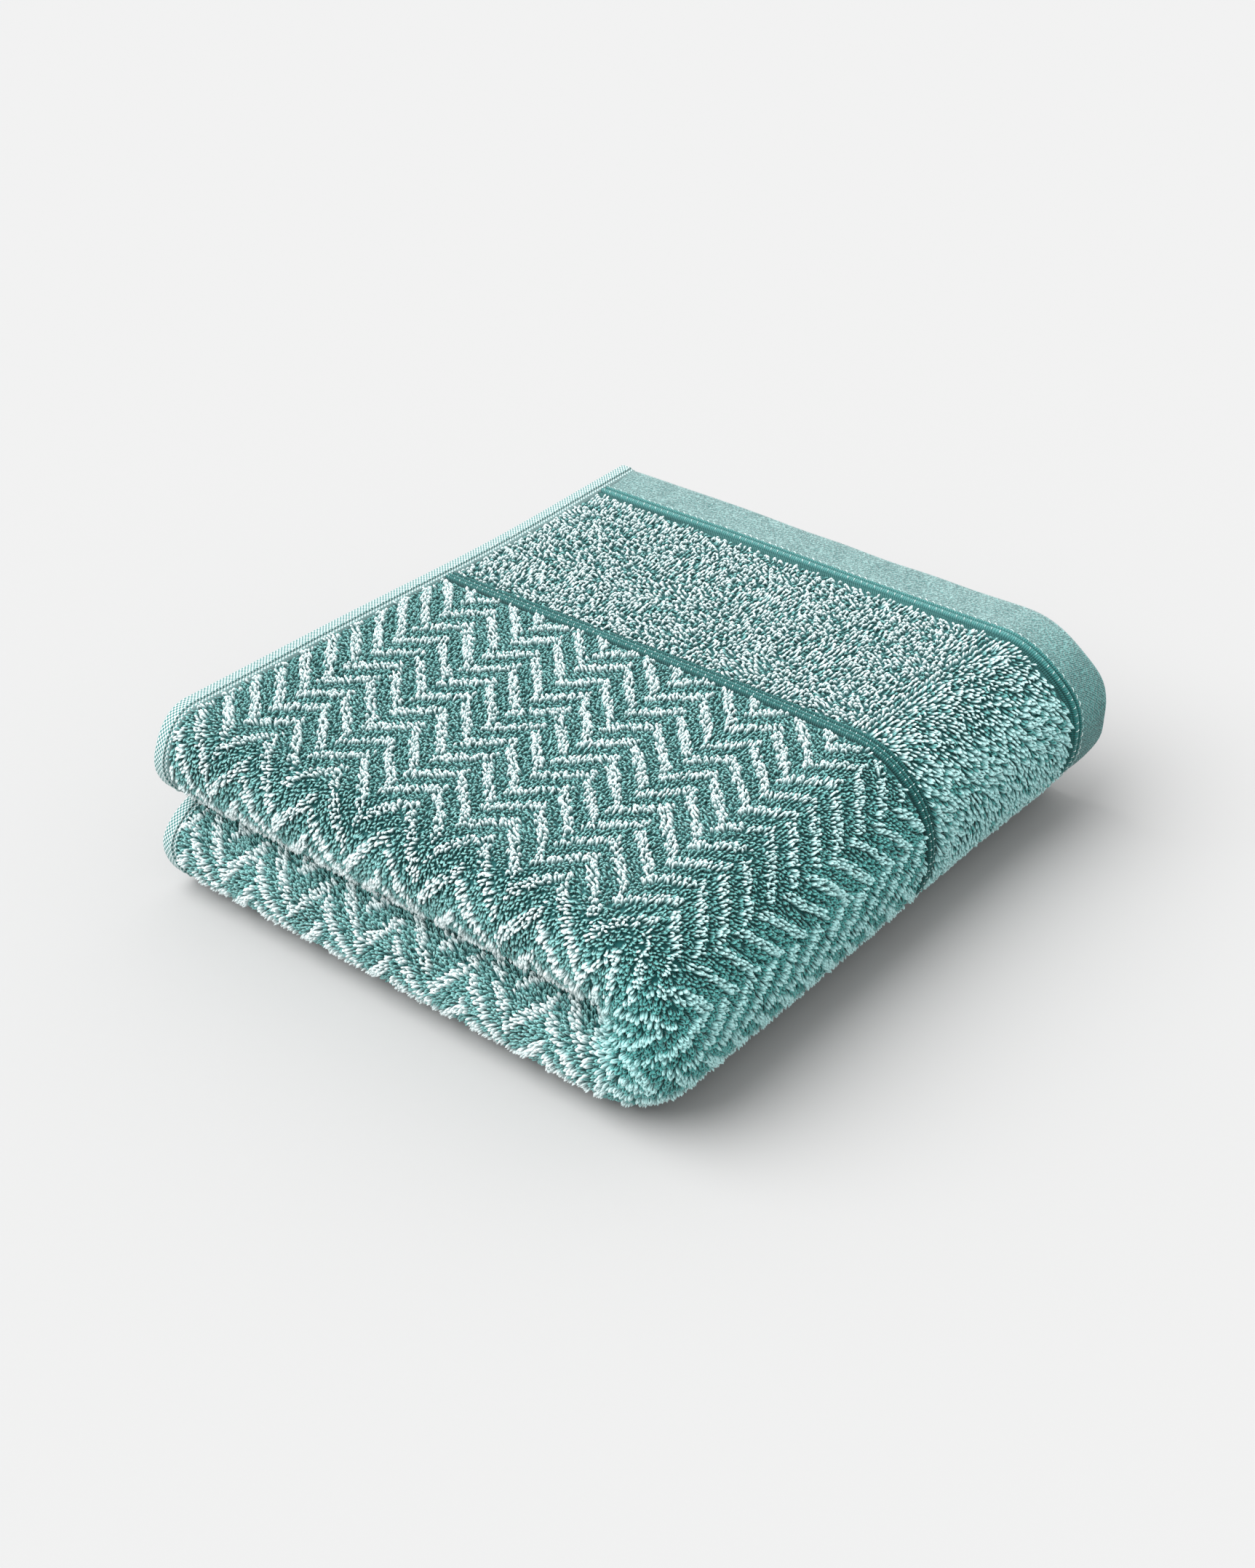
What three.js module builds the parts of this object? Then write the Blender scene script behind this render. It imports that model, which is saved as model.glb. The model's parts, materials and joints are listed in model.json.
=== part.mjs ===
// A terry hand towel, folded for a shelf into a stack of eight layers.
//
// The cloth is folded in half along its length, then in half again, and last in half across its
// width. So one half of the stack lies on the other, joined along +X by the spine fold.
// Every piece of the towel is a section in the plane of Y and the distance from the mid-plane,
// carried along one U-shaped way: along the upper half, round the spine and back along the lower.
//
// The origin is the middle of the base. X runs from the free edges to the spine fold, Y from the
// front folds to the towel's ends, and Z is up.

import * as THREE from "three";

// Driving dimensions, in millimetres.
const foldedWidth = 236; // X, from the free edges to the crown of the spine fold
const foldedDepth = 265; // Y, from the front folds to the end of the towel that lies on top
const clothThickness = 8.9; // one layer of terry: ground cloth with loops on both sides
const layerGap = 0.35; // air between layers that lie on each other
const pieceGap = 0.3; // between neighbouring pieces of the cloth
const endHemWidth = 20; // the turned hem at each end of the towel
const endSeamWidth = 6; // the stitched rib that holds that hem
const mottledBandWidth = 89; // the band of mixed loops beside the end hem
const dobbyLineWidth = 5.5; // the flat woven line between the band and the field
const sideHemWidth = 6; // the hem along each side of the towel
const sideSeamWidth = 1.5; // the stitched line that holds the side hem
const innerEndStep = 4; // how far the inner end lies short of the outer end
const middleFoldStep = 6; // how far the towel's middle fold lies short of the outer end

// How finely the folds are faceted.
const frontFoldSteps = 12;
const smallFoldSteps = 6;
const spineSteps = 16;

// Worked out from the dimensions above.
const layersInHalf = 4;
const pitch = clothThickness + layerGap;
const halfHeight = layersInHalf * pitch - layerGap / 2;
const straightWidth = foldedWidth - halfHeight;
const spineAxisX = foldedWidth / 2 - halfHeight;
const foldCentreRho = (layersInHalf / 2) * pitch;
const outerFoldRadius = ((layersInHalf - 1) / 2) * pitch;
const smallFoldRadius = pitch / 2;
const foldCentreY = outerFoldRadius + clothThickness / 2 - foldedDepth / 2;
const outerEndY = foldedDepth / 2;
const innerEndY = outerEndY - innerEndStep;
const middleFoldY = outerEndY - middleFoldStep - smallFoldRadius - clothThickness / 2;

const teal = 0x5aa09b;
const deepTeal = 0x44888a;
const paleTeal = 0x9cc6c4;
const cream = 0xdfeceb;

function cloth(color) {
  return new THREE.MeshStandardMaterial({ color, roughness: 0.95, metalness: 0 });
}

const materials = {
  chevron_field: cloth(teal),
  mottled_band: cloth(paleTeal),
  dobby_line: cloth(deepTeal),
  end_hem: cloth(teal),
  end_hem_seam: cloth(deepTeal),
  side_hem: cloth(paleTeal),
  side_hem_seam: cloth(cream),
};

// Distance of a layer's middle from the mid-plane. Layer 1 lies outside, layer 4 on the mid-plane.
function layerRho(layer) {
  return (layersInHalf - layer + 0.5) * pitch;
}

// Points of a round fold about (y, rho), from one angle to the other. side is 1 where the right
// side of the cloth faces away from the centre, and -1 where it faces the centre.
function foldArc(y, rho, radius, from, to, steps, side) {
  return Array.from({ length: steps + 1 }, (_, i) => {
    const angle = from + ((to - from) * i) / steps;
    const out = new THREE.Vector2(Math.cos(angle), Math.sin(angle));
    return {
      middle: new THREE.Vector2(y, rho).addScaledVector(out, radius),
      out: out.clone().multiplyScalar(side),
    };
  });
}

function turnedCounterClockwise(outline) {
  return THREE.ShapeUtils.isClockWise(outline) ? outline.reverse() : outline;
}

// Outline of the cloth along a way: half its thickness to each side of the way's points.
function outlineAlong(way) {
  const side = (distance) => way.map((p) => p.middle.clone().addScaledVector(p.out, distance));
  const right = side(clothThickness / 2);
  const wrong = side(-clothThickness / 2);
  return turnedCounterClockwise([...right, ...wrong.reverse()]);
}

// A strip that goes through every fold of the length: forward on layer 1 from outerY, round the
// front, back on layer 4, round the towel's middle fold, forward on layer 3, round the front
// again on the inside, and back on layer 2 to innerY.
function foldedOutline(outerY, innerY) {
  const up = new THREE.Vector2(0, 1);
  const down = new THREE.Vector2(0, -1);
  const right = Math.PI / 2;
  return outlineAlong([
    { middle: new THREE.Vector2(outerY, layerRho(1)), out: up },
    ...foldArc(foldCentreY, foldCentreRho, outerFoldRadius, right, 3 * right, frontFoldSteps, 1),
    ...foldArc(middleFoldY, pitch, smallFoldRadius, -right, right, smallFoldSteps, 1),
    ...foldArc(foldCentreY, foldCentreRho, smallFoldRadius, 3 * right, right, smallFoldSteps, -1),
    { middle: new THREE.Vector2(innerY, layerRho(2)), out: down },
  ]);
}

// A strip that lies flat in one layer.
function flatOutline(fromY, toY, layer) {
  const out = new THREE.Vector2(0, 1);
  const at = (y) => ({ middle: new THREE.Vector2(y, layerRho(layer)), out });
  return outlineAlong([at(fromY), at(toY)]);
}

// A station of the U-shaped way: how far the mid-plane has turned about the spine's axis, and how
// far the station lies along it from the spine's start.
function station(turn, along) {
  return new THREE.Matrix4()
    .makeTranslation(spineAxisX, 0, halfHeight)
    .multiply(new THREE.Matrix4().makeRotationY(turn))
    .multiply(new THREE.Matrix4().makeTranslation(along, 0, 0));
}

// The ways of the three parts. near and far are distances from the towel's free edges.
const upperWay = (near, far) => [station(0, near - straightWidth), station(0, far - straightWidth)];
const lowerWay = (near, far) => [
  station(Math.PI, straightWidth - far),
  station(Math.PI, straightWidth - near),
];
const spineWay = Array.from({ length: spineSteps + 1 }, (_, i) =>
  station((Math.PI * i) / spineSteps, 0),
);

// A closed solid: the outline at every station, walls between stations and a cap at each end.
function sweep(outline, way) {
  const count = outline.length;
  const positions = way.flatMap((matrix) =>
    outline.flatMap((p) => new THREE.Vector3(0, p.x, p.y).applyMatrix4(matrix).toArray()),
  );
  const faces = [];
  for (let j = 0; j + 1 < way.length; j++) {
    for (let i = 0; i < count; i++) {
      const next = (i + 1) % count;
      const a = j * count + i;
      const b = j * count + next;
      const c = a + count;
      const d = b + count;
      faces.push(a, b, d, a, d, c);
    }
  }
  const last = (way.length - 1) * count;
  for (const [a, b, c] of THREE.ShapeUtils.triangulateShape(outline, [])) {
    faces.push(a, c, b, last + a, last + b, last + c);
  }
  const geometry = new THREE.BufferGeometry();
  geometry.setAttribute("position", new THREE.Float32BufferAttribute(positions, 3));
  geometry.setIndex(faces);
  geometry.computeVertexNormals();
  return geometry;
}

const towel = new THREE.Group();

function addPiece(part, kind, suffix, outline, way) {
  const mesh = new THREE.Mesh(sweep(outline, way), materials[kind]);
  mesh.name = [part, kind, suffix].filter(Boolean).join("_");
  towel.add(mesh);
}

// The woven pieces in order from an end of the towel towards its middle.
const endPieces = [
  ["end_hem", endHemWidth],
  ["end_hem_seam", endSeamWidth],
  ["mottled_band", mottledBandWidth],
  ["dobby_line", dobbyLineWidth],
];
const endPiecesWidth = endPieces.reduce((sum, [, width]) => sum + width, 0);

// The field and the pieces at both ends, over one part of the width.
function addWovenPieces(part, way) {
  const fieldOutline = foldedOutline(outerEndY - endPiecesWidth, innerEndY - endPiecesWidth);
  addPiece(part, "chevron_field", "", fieldOutline, way);
  for (const [suffix, endY, layer] of [
    ["outer_end", outerEndY, 1],
    ["inner_end", innerEndY, 2],
  ]) {
    let y = endY;
    for (const [kind, width] of endPieces) {
      addPiece(part, kind, suffix, flatOutline(y, y - width + pieceGap, layer), way);
      y -= width;
    }
  }
}

// The side hem and its seam, which run the whole length of the towel along the free edge.
function addSideHem(part, wayBetween) {
  const outline = foldedOutline(outerEndY, innerEndY);
  const hemWay = wayBetween(0, sideHemWidth - pieceGap);
  const seamWay = wayBetween(sideHemWidth, sideHemWidth + sideSeamWidth - pieceGap);
  addPiece(part, "side_hem", "", outline, hemWay);
  addPiece(part, "side_hem_seam", "", outline, seamWay);
}

for (const [part, wayBetween] of [
  ["upper", upperWay],
  ["lower", lowerWay],
]) {
  addWovenPieces(part, wayBetween(sideHemWidth + sideSeamWidth, straightWidth - pieceGap));
  addSideHem(part, wayBetween);
}
addWovenPieces("spine", spineWay);

export default towel;
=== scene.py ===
"""A terry towel, folded into eight layers, with its loops, hems, seams and woven lines.

Places on the cloth are given by two lengths. s runs along the towel, from the end that lies on
top, forward over the top layer, round the front fold and on through every fold to the inner end.
a runs across it, from the free edge of the upper half, round the spine to that of the lower half.
"""

import json
import math

import bpy
import numpy as np
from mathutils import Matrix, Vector


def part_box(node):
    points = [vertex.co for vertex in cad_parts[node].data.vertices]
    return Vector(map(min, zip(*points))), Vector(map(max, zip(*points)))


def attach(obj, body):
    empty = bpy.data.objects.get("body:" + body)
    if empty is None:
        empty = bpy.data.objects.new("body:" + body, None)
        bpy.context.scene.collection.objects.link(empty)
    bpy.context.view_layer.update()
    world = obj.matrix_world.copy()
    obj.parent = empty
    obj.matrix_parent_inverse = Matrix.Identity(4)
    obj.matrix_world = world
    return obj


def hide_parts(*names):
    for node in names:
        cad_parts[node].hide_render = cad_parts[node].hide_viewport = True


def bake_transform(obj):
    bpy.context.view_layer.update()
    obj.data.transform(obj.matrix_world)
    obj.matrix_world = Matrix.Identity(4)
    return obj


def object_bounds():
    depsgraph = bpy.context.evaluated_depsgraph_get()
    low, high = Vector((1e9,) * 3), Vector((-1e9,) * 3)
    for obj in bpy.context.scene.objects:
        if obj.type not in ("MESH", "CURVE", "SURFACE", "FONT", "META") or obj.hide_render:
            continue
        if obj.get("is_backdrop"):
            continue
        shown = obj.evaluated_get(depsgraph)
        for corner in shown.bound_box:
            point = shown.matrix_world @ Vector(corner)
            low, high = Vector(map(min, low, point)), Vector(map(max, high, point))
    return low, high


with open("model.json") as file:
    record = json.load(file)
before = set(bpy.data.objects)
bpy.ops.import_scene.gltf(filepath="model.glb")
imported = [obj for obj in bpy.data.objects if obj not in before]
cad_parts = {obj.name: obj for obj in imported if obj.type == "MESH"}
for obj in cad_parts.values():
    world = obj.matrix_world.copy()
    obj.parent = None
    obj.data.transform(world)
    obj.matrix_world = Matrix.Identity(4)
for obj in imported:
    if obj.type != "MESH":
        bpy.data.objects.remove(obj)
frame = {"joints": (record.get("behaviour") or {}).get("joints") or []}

cad_low, cad_high = (tuple(corner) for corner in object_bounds())

MM = 0.001
ENDS = ("outer_end", "inner_end")
PARTS = ("upper", "spine", "lower")

# ---------------------------------------------------------------- sizes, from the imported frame

fold_joint = next(joint for joint in frame["joints"] if joint["name"] == "book_fold")
AXIS_X, _, AXIS_Z = fold_joint["pos_m"]
FREE_X = cad_low[0]
FRONT_Y, BACK_Y = cad_low[1], cad_high[1]
OUTER = cad_high[0] - AXIS_X  # radius of the spine's outer face
STRAIGHT = AXIS_X - FREE_X

layer_1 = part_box("upper_dobby_line_outer_end")
layer_2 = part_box("upper_dobby_line_inner_end")
THICKNESS = layer_1[1][2] - layer_1[0][2]
PITCH = layer_1[0][2] - layer_2[0][2]
RHO_1 = (layer_1[0][2] + layer_1[1][2]) / 2 - AXIS_Z
RHO_2 = RHO_1 - PITCH
FOLD_RADIUS = 1.5 * PITCH
FOLD_Y = FRONT_Y + FOLD_RADIUS + THICKNESS / 2
FOLD_RHO = 2 * PITCH
INNER_END_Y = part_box("upper_end_hem_inner_end")[1][1]
MIDDLE_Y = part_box("upper_chevron_field")[1][1] - PITCH / 2 - THICKNESS / 2

SIDE_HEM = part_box("upper_side_hem_seam")[0][0] - FREE_X
FIELD_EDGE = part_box("upper_chevron_field")[0][0] - FREE_X  # from the free edge to the field

# What the cloth itself is made of.
GROUND = 2.0 * MM  # half the thickness of the ground cloth
PILE = THICKNESS / 2 - GROUND  # how high a loop stands on it
COLUMN = 1.36 * MM  # from loop to loop across the towel
ROW = 1.58 * MM  # from loop to loop along it
YARN = 0.34 * MM  # radius of the pile yarn
STITCH = 3.1 * MM  # from stitch to stitch in every seam

# ---------------------------------------------------------------- the way of the cloth


def arc(centre_y, centre_rho, radius, start, stop, side, count):
    """Points on a circle in the plane of y and rho: the centre plus radius times (cos, sin) of an
    angle that runs evenly from start to stop. side is 1 where the cloth's right side faces out."""
    angle = np.linspace(start, stop, count)
    cosine, sine = np.cos(angle), np.sin(angle)
    return np.stack(
        [centre_y + radius * cosine, centre_rho + radius * sine, side * cosine, side * sine], axis=1
    )


QUARTER = math.pi / 2
way_table = np.vstack(
    [
        [[BACK_Y, RHO_1, 0, 1]],
        arc(FOLD_Y, FOLD_RHO, FOLD_RADIUS, QUARTER, 3 * QUARTER, 1, 49),
        arc(MIDDLE_Y, PITCH, PITCH / 2, -QUARTER, QUARTER, 1, 25),
        arc(FOLD_Y, FOLD_RHO, PITCH / 2, 3 * QUARTER, QUARTER, -1, 25),
        [[INNER_END_Y, RHO_2, 0, -1]],
    ]
)
way_s = np.concatenate([[0], np.cumsum(np.hypot(*np.diff(way_table[:, :2], axis=0).T))])
FRONT_S, LAYER_4_S = way_s[1], way_s[49]
MIDDLE_S, LAYER_3_S = way_s[50], way_s[74]
TUCK_S, LAYER_2_S = way_s[75], way_s[99]
LENGTH = way_s[100]
SPINE_A, SPINE_END_A = STRAIGHT, STRAIGHT + math.pi * OUTER
ACROSS = SPINE_END_A + STRAIGHT
FOLDS = ((FRONT_S, LAYER_4_S, 25), (MIDDLE_S, LAYER_3_S, 13), (TUCK_S, LAYER_2_S, 13))


def smooth(t):
    """0 below 0, 1 above 1, and 3 t squared less 2 t cubed between them."""
    t = np.clip(t, 0, 1)
    return t * t * (3 - 2 * t)


# How the stack settles: shares of the height, and lengths.
HOLLOW, HOLLOW_REACH = 0.006, 95 * MM
HEAVE = 0.005
TALLER, TALLER_AT_BACK = 1.008, 0.018
SWELL = 5.0 * MM
FREE_REACH = 26 * MM  # how far in from the free edge the layers' edges lie unevenly
BACK_SHARE = 0.2  # of the depth, over which the layers' ends lie unevenly


def settle(points):
    """How a real stack lies. Heights shrink by a small share in the middle of the free edge's
    length and grow with the square of the distance towards the back, where the end hems are; the
    spine swells there too, least at its foot; the layers' edges stand out unevenly, by sines of the
    height; and the top heaves by slow sines of x and y."""
    x, y, z = points[..., 0], points[..., 1], points[..., 2]
    from_edge = x - FREE_X
    along = (y - FRONT_Y) / (BACK_Y - FRONT_Y)
    middle = np.sin(math.pi * np.clip(along, 0, 1)) ** 2
    hollow = HOLLOW * middle * np.exp(-((from_edge / HOLLOW_REACH) ** 2))
    heave = HEAVE * (np.sin(31 * x + 17 * y + 0.8) + np.sin(13 * x - 41 * y + 2.1))
    height = TALLER - hollow + heave + TALLER_AT_BACK * np.clip(along, 0, 1) ** 2
    round_spine = np.sqrt(np.clip((x - AXIS_X) / OUTER, 0, 1))
    above_foot = np.clip(z / AXIS_Z - 0.2, 0, 1)
    swell = SWELL * smooth((along - 0.70) / 0.28) * round_spine * above_foot
    layer = z / PITCH
    free = np.exp(-((from_edge / FREE_REACH) ** 2))
    ends = smooth((along - 1) / BACK_SHARE + 1)
    uneven_x = 0.9 * np.sin(1.9 * layer + 0.7) + 0.7 * np.sin(23 * y + 0.9 * layer)
    uneven_y = 1.2 * np.sin(2.3 * layer + 1.2) + 0.5 * np.sin(29 * x + 1.4 * layer)
    x = x + MM * free * uneven_x + swell
    return np.stack([x, y + MM * ends * uneven_y, z * height], axis=-1)


def cloth(s, a, h):
    """The point at s along and a across, h out from the cloth's middle on its right side. The way
    gives y and rho there. rho then turns about the spine's axis, by (a - spine's start) over the
    spine's outer radius, held between none and a half turn, and what is left of a runs straight."""
    s, a, h = np.broadcast_arrays(s, a, h)
    y, rho, out_y, out_rho = (np.interp(s, way_s, column) for column in way_table.T)
    y = y + out_y * h
    rho = rho + out_rho * h
    turn = np.clip((a - SPINE_A) / OUTER, 0, math.pi)
    straight = np.where(a < SPINE_A, a - SPINE_A, np.maximum(a - SPINE_END_A, 0))
    x = AXIS_X + np.cos(turn) * straight + np.sin(turn) * rho
    z = AXIS_Z - np.sin(turn) * straight + np.cos(turn) * rho
    return settle(np.stack([x, y, z], axis=-1))


def unit(vectors):
    """The vectors, each divided by its length."""
    return vectors / np.maximum(np.linalg.norm(vectors, axis=-1, keepdims=True), 1e-12)


def directions(s, a, level, side):
    """The cloth's own directions at a point: along it, across it and out of it on the given side,
    from the differences of nearby points; and how far the surface there is stretched."""
    tiny = 0.1 * MM
    along = cloth(s + tiny, a, level) - cloth(s - tiny, a, level)
    across = cloth(s, a + tiny, level) - cloth(s, a - tiny, level)
    stretch = np.linalg.norm(np.cross(along, across), axis=-1) / (2 * tiny) ** 2
    out = unit(cloth(s, a, level + side * tiny) - cloth(s, a, level))
    along = unit(along)
    return along, unit(np.cross(out, along)), out, stretch


def drift(s, a, wave, seed):
    """A slow number from -1 to 1 over the cloth: the mean of five sines in turned directions, with
    waves of about the length given."""
    draw = np.random.default_rng(seed)
    total = 0
    for _ in range(5):
        angle, phase = draw.uniform(0, 2 * math.pi, 2)
        k = 2 * math.pi / (wave * draw.uniform(0.7, 1.4))
        total = total + np.sin(k * (math.cos(angle) * s + math.sin(angle) * a) + phase)
    return total / 3.2


# ---------------------------------------------------------------- meshes


def make_piece(name, points, faces, finish, attributes=None, uv=None, bake_uv=None, sharp_from=None):
    """An object from arrays: points (n, 3), faces (m, 4), numbers at points, and places in two UV
    maps at the faces' corners (4 m, 2): "cloth" in metres on the cloth, and "OFBake" in a square.
    Faces are smooth, apart from those at and after sharp_from."""
    mesh = bpy.data.meshes.new(name)
    mesh.vertices.add(len(points))
    mesh.vertices.foreach_set("co", np.asarray(points, np.float32).ravel())
    corners = np.asarray(faces, np.int32).ravel()
    mesh.loops.add(len(corners))
    mesh.loops.foreach_set("vertex_index", corners)
    mesh.polygons.add(len(faces))
    mesh.polygons.foreach_set("loop_start", np.arange(0, len(corners), 4, dtype=np.int32))
    is_smooth = np.ones(len(faces), bool)
    if sharp_from is not None:
        is_smooth[sharp_from:] = False
    mesh.polygons.foreach_set("use_smooth", is_smooth)
    mesh.update(calc_edges=True)
    for key, values in (attributes or {}).items():
        layer = mesh.attributes.new(key, "FLOAT", "POINT")
        layer.data.foreach_set("value", np.asarray(values, np.float32).ravel())
    for key, values in (("cloth", uv), ("OFBake", bake_uv)):
        if values is not None:
            layer = mesh.uv_layers.new(name=key)
            layer.data.foreach_set("uv", np.asarray(values, np.float32).ravel())
    mesh.materials.append(finish)
    piece = bpy.data.objects.new(name, mesh)
    bpy.context.scene.collection.objects.link(piece)
    return piece


def hold(piece, part):
    """Puts a piece of a half on its body. A piece of the spine only has its place baked into its
    points; each point's share of the upper half, its angle round the spine's axis from straight
    down to straight up, is worked out but not used."""
    if part != "spine":
        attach(piece, part + "_half")
        return
    AXIS_Z - OUTER
    AXIS_Z + OUTER
    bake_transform(piece)
    points = np.empty(3 * len(piece.data.vertices), np.float32)
    piece.data.vertices.foreach_get("co", points)
    x, _, z = points.reshape(-1, 3).T
    share = np.clip(np.arctan2(z - AXIS_Z, np.maximum(x - AXIS_X, 1e-6)) / math.pi + 0.5, 0, 1)


EDGE_ROUND = 1.6 * MM
NEAREST = 0.08 * MM  # how close two rows of a sheet's points may come
WALL_ROW = 0.1 * MM  # a narrow row of faces beside a wall, which keeps the wall out of the shading


def spread(start, stop, step, bends=()):
    """Places from start to stop: even steps, closer together in each bend (from, to, count) and at
    both ends, where the cloth's edge is rounded."""
    places = [np.linspace(start, stop, max(2, int(math.ceil((stop - start) / step)) + 1))]
    for low, high, count in bends:
        if low < stop and high > start:
            places.append(np.linspace(max(low, start), min(high, stop), count))
    rounding = EDGE_ROUND * np.array([0.12, 0.35, 0.7, 1.0])
    places += [start + rounding, stop - rounding]
    every = np.unique(np.round(np.concatenate(places), 6))
    every = every[(every >= start - 1e-9) & (every <= stop + 1e-9)]
    return every[np.concatenate([[True], np.diff(every) > NEAREST])]


def rim(places, rounded):
    """How far a sheet's faces stand apart near its two ends: a quarter ellipse where the end is
    rounded, and in full where it isn't."""
    low = (places - places[0]) / EDGE_ROUND if rounded[0] else np.ones_like(places)
    high = (places[-1] - places) / EDGE_ROUND if rounded[1] else np.ones_like(places)
    nearest = np.clip(np.minimum(low, high), 0, 1)
    return np.sqrt(np.maximum(1 - (1 - nearest) ** 2, 0.04))


def closed_sheet(name, s, a, right, wrong, rounded, finish, attributes=None):
    """A closed sheet over the grid of s and a. Its two faces stand right and wrong of the middle,
    functions of s and a, and a wall closes them all round. rounded tells the four ends (low s,
    high s, low a, high a) that close in by a quarter ellipse."""
    grid_s, grid_a = np.meshgrid(s, a, indexing="ij")
    close = np.minimum(rim(s, rounded[:2])[:, None], rim(a, rounded[2:])[None, :])
    top = cloth(grid_s, grid_a, right(grid_s, grid_a) * close)
    bottom = cloth(grid_s, grid_a, -wrong(grid_s, grid_a) * close)
    points = np.concatenate([top.reshape(-1, 3), bottom.reshape(-1, 3)])

    rows, columns = grid_s.shape
    index = np.arange(rows * columns).reshape(rows, columns)
    over = np.stack([index[:-1, :-1], index[1:, :-1], index[1:, 1:], index[:-1, 1:]], axis=-1)
    over = over.reshape(-1, 4)
    under = over[:, ::-1] + rows * columns
    ring = np.concatenate([index[0, :-1], index[:-1, -1], index[-1, :0:-1], index[:0:-1, 0]])
    after = np.roll(ring, -1)
    walls = np.stack([ring, after, after + rows * columns, ring + rows * columns], axis=-1)
    faces = np.concatenate([over, under, walls])
    corners = faces.ravel()

    place = np.stack([grid_a, grid_s], axis=-1).reshape(-1, 2)
    place = np.concatenate([place, place])
    even_s, even_a = np.meshgrid(np.linspace(0, 1, rows), np.linspace(0, 1, columns), indexing="ij")
    bake = np.stack([even_a, even_s], axis=-1).reshape(-1, 2) * [0.48, 0.94]
    bake = np.concatenate([bake + [0.01, 0.03], bake + [0.51, 0.03]])[corners]
    strip = np.linspace(0.02, 0.98, len(walls) + 1)
    wall_u = np.stack([strip[:-1], strip[1:], strip[1:], strip[:-1]], axis=-1)
    wall_v = np.array([0.005, 0.005, 0.015, 0.015]) * np.ones((len(walls), 1))
    bake[-4 * len(walls):] = np.stack([wall_u, wall_v], axis=-1).reshape(-1, 2)

    values = {}
    # Every sheet holds the number turned, which sets the painted shade tint on the spine's side away
    # from the sun.
    for key, make in (("turned", turned), *(attributes or {}).items()):
        values[key] = np.tile(make(grid_s, grid_a).ravel(), 2)
    return make_piece(name, points, faces, finish, values, place[corners], bake, -len(walls))


def tube_faces(rings, sides, capped):
    """Faces of one tube of rings and sides, and each corner's place in a square. The caps, where it
    has them, close a tube of four sides."""
    ring, side = np.meshgrid(np.arange(rings - 1), np.arange(sides), indexing="ij")
    following = (side + 1) % sides
    low, high = ring * sides, (ring + 1) * sides
    faces = np.stack([low + side, high + side, high + following, low + following], axis=-1)
    offsets = np.array([[0, 0], [0, 1], [1, 1], [1, 0]], float)
    place = (np.stack([side, ring], axis=-1)[:, :, None] + offsets) / [sides, rings - 1]
    faces, place = faces.reshape(-1, 4), place.reshape(-1, 4, 2)
    if capped:
        first = np.arange(4)
        caps = np.stack([first, first[::-1] + (rings - 1) * sides])
        faces = np.concatenate([faces, caps])
        place = np.concatenate([place, place[:2]])
    return faces, place.reshape(-1, 2)


def tubes(name, path, outward, beside, radius, sides, finish, attributes, capped=False):
    """Many small tubes as one piece. path, outward and beside are (tube, ring, 3) and radius is
    (tube, ring): each ring's points are the path plus the radius times outward cos + beside sin."""
    count, rings = path.shape[:2]
    angle = np.arange(sides) * 2 * math.pi / sides
    cosine, sine = np.cos(angle)[:, None], np.sin(angle)[:, None]
    ring = outward[:, :, None] * cosine + beside[:, :, None] * sine
    points = path[:, :, None] + ring * radius[:, :, None, None]
    template, place = tube_faces(rings, sides, capped)
    faces = (np.arange(count) * rings * sides)[:, None, None] + template
    grid = math.ceil(math.sqrt(count))
    cell = np.stack([np.arange(count) % grid, np.arange(count) // grid], axis=-1)
    bake = (cell[:, None] + 0.1 + 0.8 * place) / grid
    values = {key: np.broadcast_to(number, (count, rings)) for key, number in attributes.items()}
    values = {key: np.repeat(number.ravel(), sides) for key, number in values.items()}
    return make_piece(name, points.reshape(-1, 3), faces.reshape(-1, 4), finish, values, None,
                      bake.reshape(-1, 2))


# ---------------------------------------------------------------- finishes


class Number:
    """A number in a material's nodes. Sums written with it add the Math nodes."""

    def __init__(self, finish, socket):
        self.finish = finish
        self.socket = socket

    def _math(self, operation, *values):
        made = self.finish.node("ShaderNodeMath", {"operation": operation}, dict(enumerate(values)))
        return made["Value"]

    def __add__(self, other):
        return self._math("ADD", self, other)

    def __mul__(self, other):
        return self._math("MULTIPLY", self, other)

    __radd__ = __add__
    __rmul__ = __mul__

    def sine(self):
        """The sine of it, in radians."""
        return self._math("SINE", self)

    def step(self, low, high):
        """0 up to low, 1 from high, straight between them."""
        made = self.finish.node(
            "ShaderNodeMapRange", {"clamp": True}, {"Value": self, "From Min": low, "From Max": high}
        )
        return made["Result"]


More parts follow.
